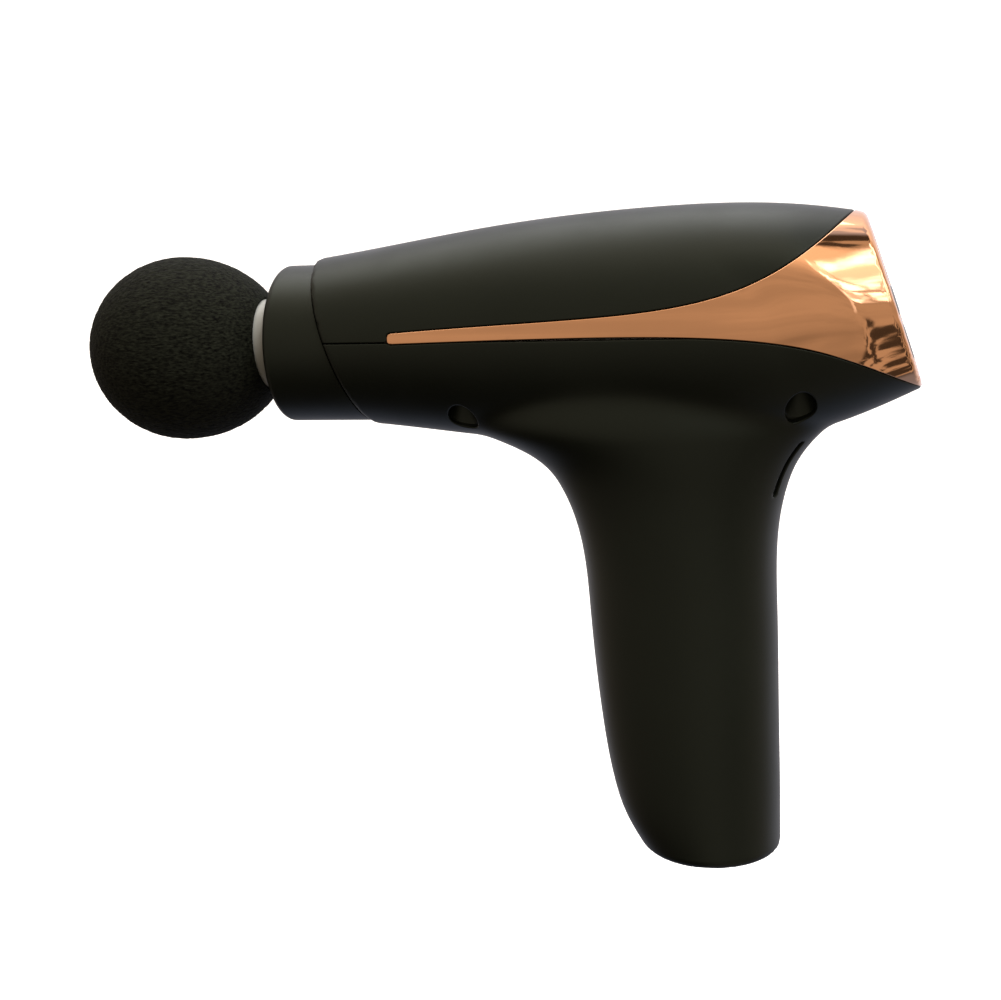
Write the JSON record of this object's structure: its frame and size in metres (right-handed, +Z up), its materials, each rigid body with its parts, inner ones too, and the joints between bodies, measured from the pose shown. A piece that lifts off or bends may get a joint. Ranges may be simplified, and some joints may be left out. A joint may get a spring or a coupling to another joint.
{
  "type": "percussion massage gun",
  "caption": "Cordless percussion massage gun with a round foam head, an upright hand grip and a copper-coloured rear cap.",
  "frame": {"origin": "centre of the hand grip, on the gun's middle plane", "axes": "+X towards the rear cap along the piston axis, +Y across the gun, +Z up along the hand grip"},
  "size_m": [0.2359, 0.0592, 0.1778],
  "materials": {
    "soft_black": "matte",
    "copper_plate": "polished",
    "collar_black": "matte",
    "black_rubber": "matte",
    "bearing_plastic": "satin",
    "cast_alloy": "satin",
    "screw_steel": "satin",
    "lamination": "satin",
    "copper_wire": "satin",
    "bearing_steel": "polished",
    "rotor_steel": "satin",
    "magnet": "satin",
    "grey_plastic": "matte",
    "rod_alloy": "satin",
    "piston_alloy": "satin",
    "pale_plastic": "matte",
    "eva_foam": "matte",
    "panel_black": "gloss",
    "light_lens": "satin",
    "circuit_board": "satin",
    "chip_black": "satin",
    "button_grey": "satin",
    "cell_wrap": "satin",
    "holder_white": "matte",
    "nickel": "satin",
    "lead_yellow": "satin",
    "lead_red": "satin",
    "lead_white": "satin"
  },
  "bodies": {
    "housing": {"upper_shell": "soft_black", "lower_shell": "soft_black", "rear_trim": "copper_plate", "nose_collar": "collar_black", "nose_seal": "black_rubber", "guide_bush": "bearing_plastic", "mechanism_frame": "cast_alloy", "rubber_mounts": "black_rubber", "frame_screws": "screw_steel", "cover_screws": "screw_steel", "stator_core": "lamination", "stator_coils": "copper_wire", "motor_bearings": "bearing_steel", "display_window": "panel_black", "light_lenses": "light_lens", "display_board": "circuit_board", "panel_switches": "chip_black", "battery_cells": "cell_wrap", "cell_holder_top": "holder_white", "cell_holder_bottom": "holder_white", "nickel_strips": "nickel", "control_board": "circuit_board", "board_chips": "chip_black", "bms_board": "circuit_board", "charge_socket": "chip_black", "charge_pin": "nickel", "motor_leads": "lead_yellow", "battery_leads": "lead_red", "charge_leads": "lead_red", "display_lead": "lead_white"},
    "rotor": {"motor_rotor": "rotor_steel", "rotor_magnets": "magnet", "motor_shaft": "bearing_steel", "cooling_fan": "grey_plastic", "crank_disc": "rotor_steel", "crank_pin": "bearing_steel"},
    "rod": {"connecting_rod": "rod_alloy", "big_end_bearing": "bearing_steel", "wrist_pin": "bearing_steel"},
    "piston_body": {"piston": "piston_alloy"},
    "massage_head": {"head_stem": "pale_plastic", "stem_orings": "black_rubber", "foam_ball": "eva_foam"},
    "power_key": {"power_button": "button_grey"},
    "minus_key": {"minus_button": "button_grey"},
    "plus_key": {"plus_button": "button_grey"}
  },
  "joints": [
    {"name": "piston_slide", "type": "slide", "parent": "housing", "child": "piston_body", "axis": [-1, 0, 0], "range_m": [0, 0.012]},
    {"name": "crank_spin", "type": "hinge", "parent": "housing", "child": "rotor", "pos_m": [-0.009, 0, 0.0906], "axis": [0, 0, 1], "continuous": true},
    {"name": "rod_swing", "type": "hinge", "parent": "rotor", "child": "rod", "pos_m": [-0.003, 0, 0.0906], "axis": [0, 0, 1], "continuous": true},
    {"name": "head_pull", "type": "slide", "parent": "piston_body", "child": "massage_head", "axis": [-1, 0, 0], "range_m": [0, 0.036]},
    {"name": "power_press", "type": "slide", "parent": "housing", "child": "power_key", "axis": [-0.9516, 0, -0.3074], "range_m": [0, 0.0008], "stiffness_N_per_m": 600, "springref_m": -0.0004},
    {"name": "minus_press", "type": "slide", "parent": "housing", "child": "minus_key", "axis": [-0.9516, 0, -0.3074], "range_m": [0, 0.0008], "stiffness_N_per_m": 600, "springref_m": -0.0004},
    {"name": "plus_press", "type": "slide", "parent": "housing", "child": "plus_key", "axis": [-0.9516, 0, -0.3074], "range_m": [0, 0.0008], "stiffness_N_per_m": 600, "springref_m": -0.0004}
  ],
  "couplings": [
    {"joint": "crank_spin", "follows": "piston_slide", "rad_per_m": 261.8},
    {"joint": "rod_swing", "follows": "piston_slide", "rad_per_m": -261.8}
  ]
}
